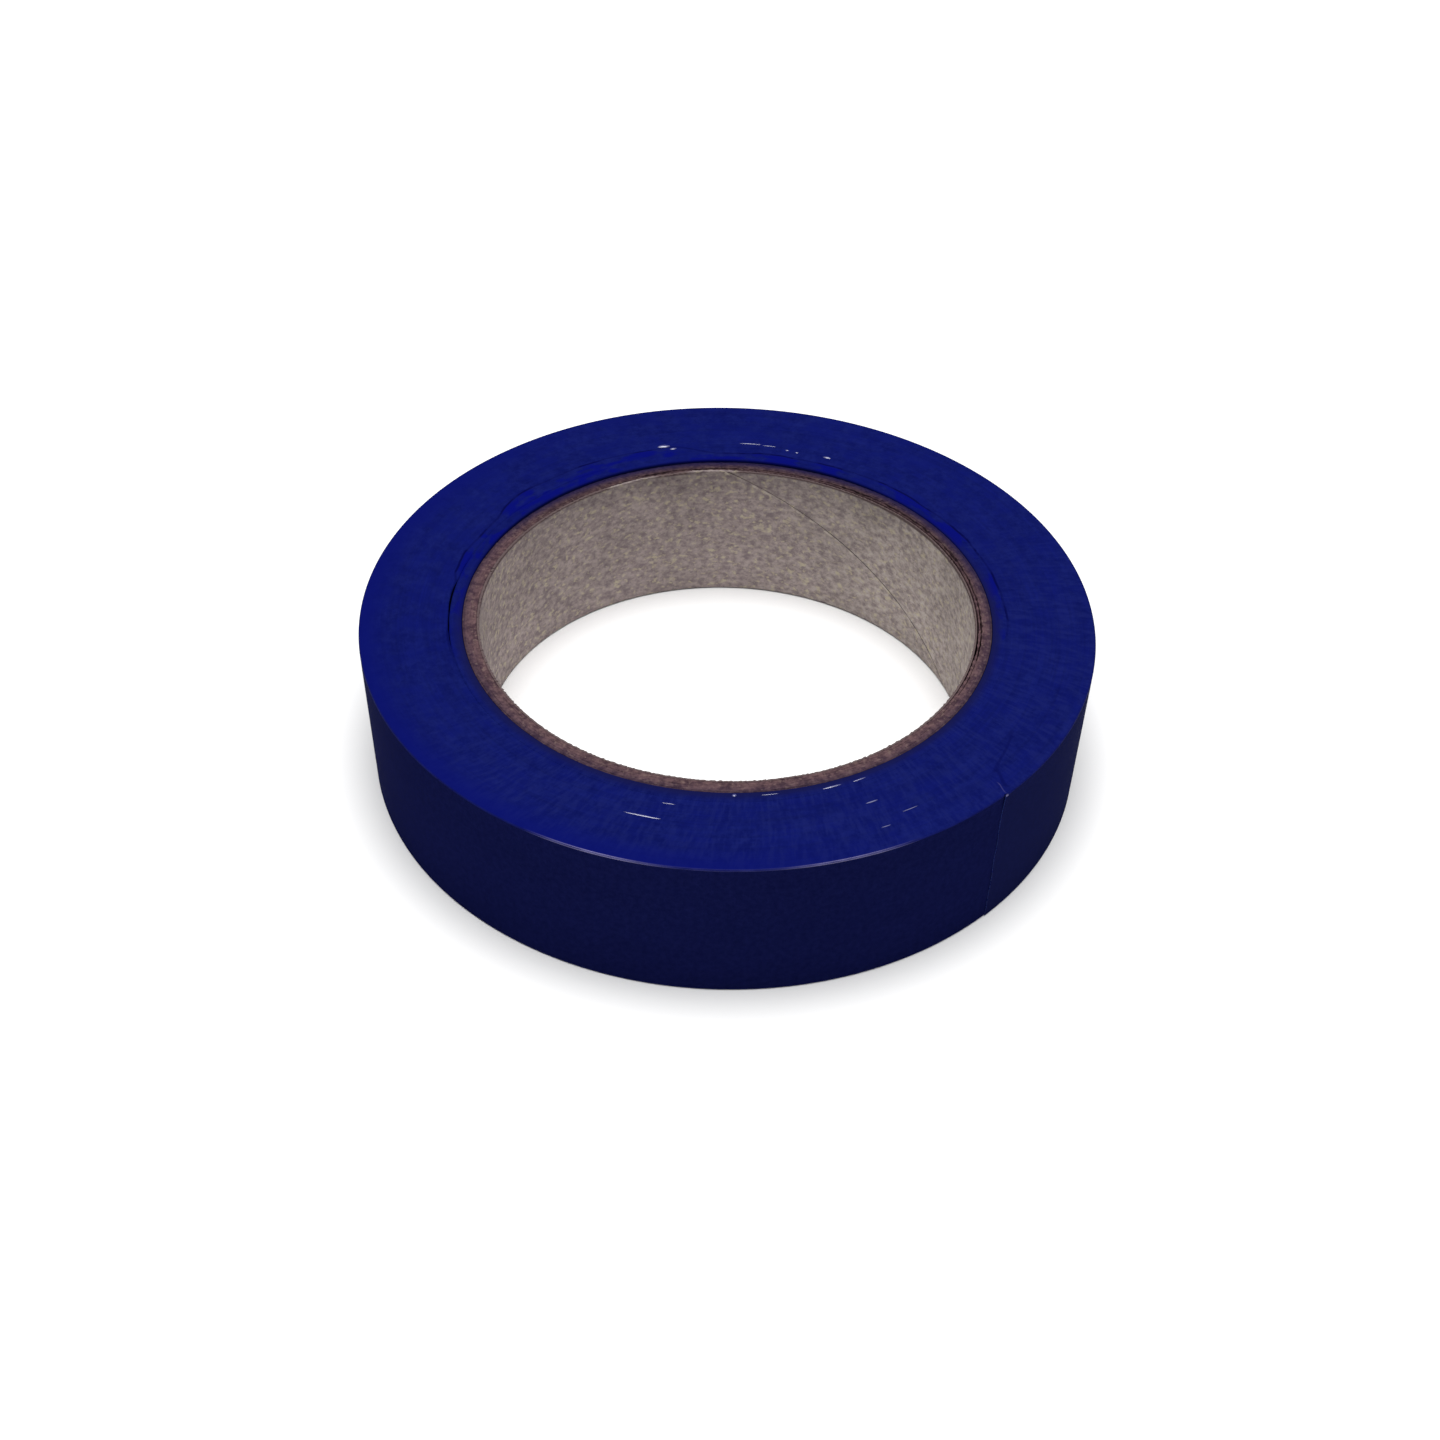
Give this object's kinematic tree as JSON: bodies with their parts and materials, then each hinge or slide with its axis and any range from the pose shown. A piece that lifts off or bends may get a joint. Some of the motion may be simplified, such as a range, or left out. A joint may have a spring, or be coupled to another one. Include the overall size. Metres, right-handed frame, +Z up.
{
  "type": "masking tape roll",
  "caption": "Roll of blue masking tape on a spiral-wound paperboard core, lying on its side, with a free end that peels off the outside.",
  "frame": {"origin": "centre of the core's bore at the roll's lower face, on which it lies", "axes": "+Z up along the bore; +X points right and +Y away from the viewer in the usual view; the free end's cut edge lies 45 degrees from +X towards -Y"},
  "size_m": [0.1121, 0.112, 0.025],
  "materials": {
    "liner_paper": "matte, mottled recycled paper",
    "core_board": "matte, fibrous cut edge",
    "tape_backing": "satin, fine crepe",
    "tape_adhesive": "semi-gloss, tacky film"
  },
  "bodies": {
    "roll": {"core_liner_ply": "liner_paper", "core_body_ply_1": "core_board", "core_body_ply_2": "core_board", "core_body_ply_3": "core_board", "core_body_ply_4": "core_board", "core_outer_ply": "core_board", "tape_inner_turns": "tape_backing", "tape_main_turns": "tape_backing", "tape_last_turn": "tape_backing"},
    "tape_end_1": {"tape_end_1": "tape_backing"},
    "tape_end_2": {"tape_end_2": "tape_backing"},
    "tape_end_3": {"tape_end_3": "tape_backing"},
    "tape_end_4": {"tape_end_4": "tape_backing"},
    "tape_end_5": {"tape_end_5": "tape_backing"},
    "tape_end_6": {"tape_end_6": "tape_backing"}
  },
  "joints": [
    {"name": "peel_1", "type": "hinge", "parent": "roll", "child": "tape_end_1", "pos_m": [0.0542, 0.01452, 0.0125], "axis": [0, 0, 1], "range_deg": [0, 12]},
    {"name": "peel_2", "type": "hinge", "parent": "tape_end_1", "child": "tape_end_2", "pos_m": [0.0559, 0.00489, 0.0125], "axis": [0, 0, 1], "range_deg": [0, 16]},
    {"name": "peel_3", "type": "hinge", "parent": "tape_end_2", "child": "tape_end_3", "pos_m": [0.0559, -0.00489, 0.0125], "axis": [0, 0, 1], "range_deg": [0, 16]},
    {"name": "peel_4", "type": "hinge", "parent": "tape_end_3", "child": "tape_end_4", "pos_m": [0.05421, -0.01452, 0.0125], "axis": [0, 0, 1], "range_deg": [0, 16]},
    {"name": "peel_5", "type": "hinge", "parent": "tape_end_4", "child": "tape_end_5", "pos_m": [0.05086, -0.02372, 0.0125], "axis": [0, 0, 1], "range_deg": [0, 16]},
    {"name": "peel_6", "type": "hinge", "parent": "tape_end_5", "child": "tape_end_6", "pos_m": [0.04598, -0.03219, 0.0125], "axis": [0, 0, 1], "range_deg": [0, 16]}
  ],
  "couplings": [
    {"joint": "peel_2", "follows": "peel_1", "ratio": 1.3333},
    {"joint": "peel_3", "follows": "peel_1", "ratio": 1.3333},
    {"joint": "peel_4", "follows": "peel_1", "ratio": 1.3333},
    {"joint": "peel_5", "follows": "peel_1", "ratio": 1.3333},
    {"joint": "peel_6", "follows": "peel_1", "ratio": 1.3333}
  ]
}
